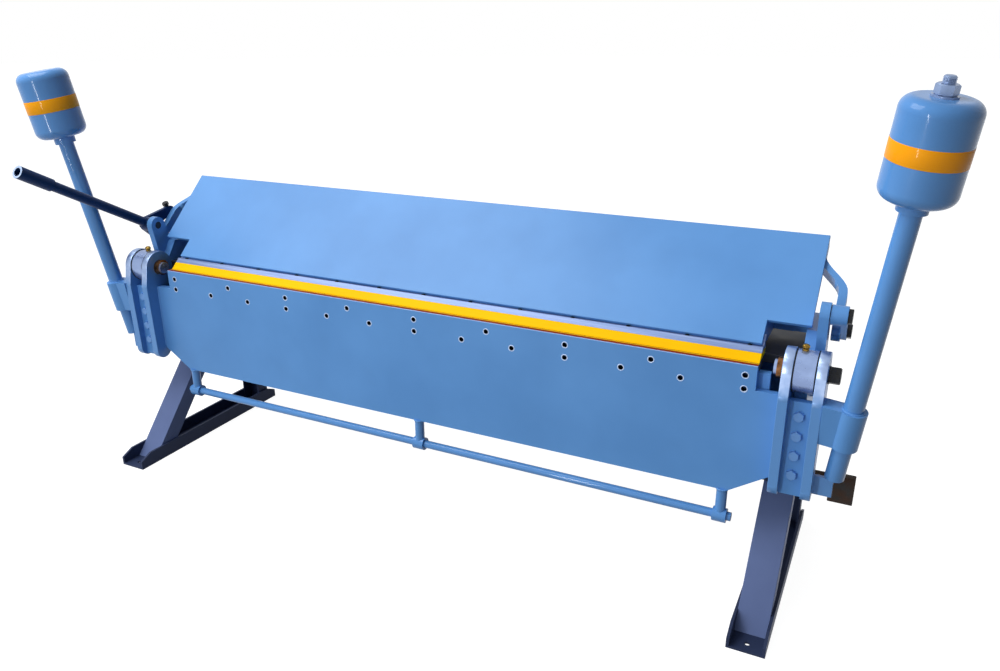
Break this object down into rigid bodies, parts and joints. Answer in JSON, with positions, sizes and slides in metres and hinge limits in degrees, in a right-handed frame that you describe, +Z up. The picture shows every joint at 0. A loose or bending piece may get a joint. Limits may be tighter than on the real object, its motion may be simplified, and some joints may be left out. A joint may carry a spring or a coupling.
{
  "type": "sheet metal folder",
  "caption": "Hand folding machine for sheet metal: hinged leaf with counterweights, lever-raised clamp beam, truss rod, bed and channel stands",
  "frame": {"origin": "on the floor, at the middle of the four floor bolts", "axes": "X along the bending edge, -Y towards the operator, Z up"},
  "size_m": [2.8336, 0.8809, 1.4239],
  "materials": {
    "blue_paint": "satin",
    "dark_blue_paint": "satin",
    "slate_paint": "satin",
    "machined_steel": "turned",
    "black_steel": "black oxide",
    "bronze": "turned",
    "yellow_paint": "satin",
    "rusty_steel": "rough",
    "weight_iron": "painted"
  },
  "bodies": {
    "frame": {"base_left": "slate_paint", "base_right": "slate_paint", "front_leg_left": "slate_paint", "front_leg_right": "slate_paint", "rear_leg_left": "slate_paint", "rear_leg_right": "slate_paint", "stand_caps": "slate_paint", "side_frame_left": "blue_paint", "side_frame_right": "blue_paint", "upright_left": "blue_paint", "upright_right": "blue_paint", "hinge_hub_left": "machined_steel", "hinge_hub_right": "machined_steel", "hinge_bushes": "bronze", "hub_oilers": "bronze", "bed_table": "blue_paint", "bed_front_plate": "blue_paint", "bed_rear_plate": "blue_paint", "bed_bottom_plate": "blue_paint", "pivot_bolts": "black_steel", "stop_bracket": "rusty_steel", "stop_block": "rusty_steel"},
    "folding_leaf": {"leaf_plate": "blue_paint", "cheek_inner_left": "machined_steel", "cheek_inner_right": "machined_steel", "cheek_outer_left": "machined_steel", "cheek_outer_right": "machined_steel", "cheek_web_left": "blue_paint", "cheek_web_right": "blue_paint", "web_bolts": "black_steel", "hinge_pins": "machined_steel", "pin_collars": "bronze", "hinge_bolts": "black_steel", "arm_socket_left": "blue_paint", "arm_socket_right": "blue_paint", "weight_arm_left": "blue_paint", "weight_arm_right": "blue_paint", "weight_left": "weight_iron", "weight_right": "weight_iron", "weight_collars": "machined_steel", "weight_washer": "machined_steel", "weight_nut": "machined_steel", "weight_stud": "machined_steel", "truss_rod": "blue_paint", "truss_posts": "blue_paint"},
    "clamp_beam": {"nose_blade": "yellow_paint", "blade_holder": "blue_paint", "clamp_plate": "blue_paint", "beam_sole": "blue_paint", "beam_back_plate": "blue_paint", "beam_ribs": "blue_paint", "lift_arm_left": "dark_blue_paint", "lift_arm_right": "dark_blue_paint"},
    "clamp_lever": {"lever_crank": "blue_paint", "lever_handle": "dark_blue_paint", "handle_grip": "dark_blue_paint", "adjusting_bolt": "black_steel", "crank_pin_left": "black_steel"},
    "right_crank_body": {"right_crank": "blue_paint", "crank_pin_right": "black_steel"}
  },
  "joints": [
    {"name": "leaf_swing", "type": "hinge", "parent": "frame", "child": "folding_leaf", "pos_m": [0, -0.12, 0.7], "axis": [-1, 0, 0], "range_deg": [0, 105]},
    {"name": "beam_lift", "type": "slide", "parent": "frame", "child": "clamp_beam", "axis": [0, 0, 1], "range_m": [0, 0.024]},
    {"name": "lever_swing", "type": "hinge", "parent": "frame", "child": "clamp_lever", "pos_m": [0, -0.045, 0.832], "axis": [1, 0, 0], "range_deg": [0, 20]},
    {"name": "right_crank_swing", "type": "hinge", "parent": "frame", "child": "right_crank_body", "pos_m": [0, -0.045, 0.832], "axis": [1, 0, 0], "range_deg": [0, 20]}
  ],
  "couplings": [
    {"joint": "lever_swing", "follows": "beam_lift", "rad_per_m": 14.544},
    {"joint": "right_crank_swing", "follows": "beam_lift", "rad_per_m": 14.544}
  ]
}
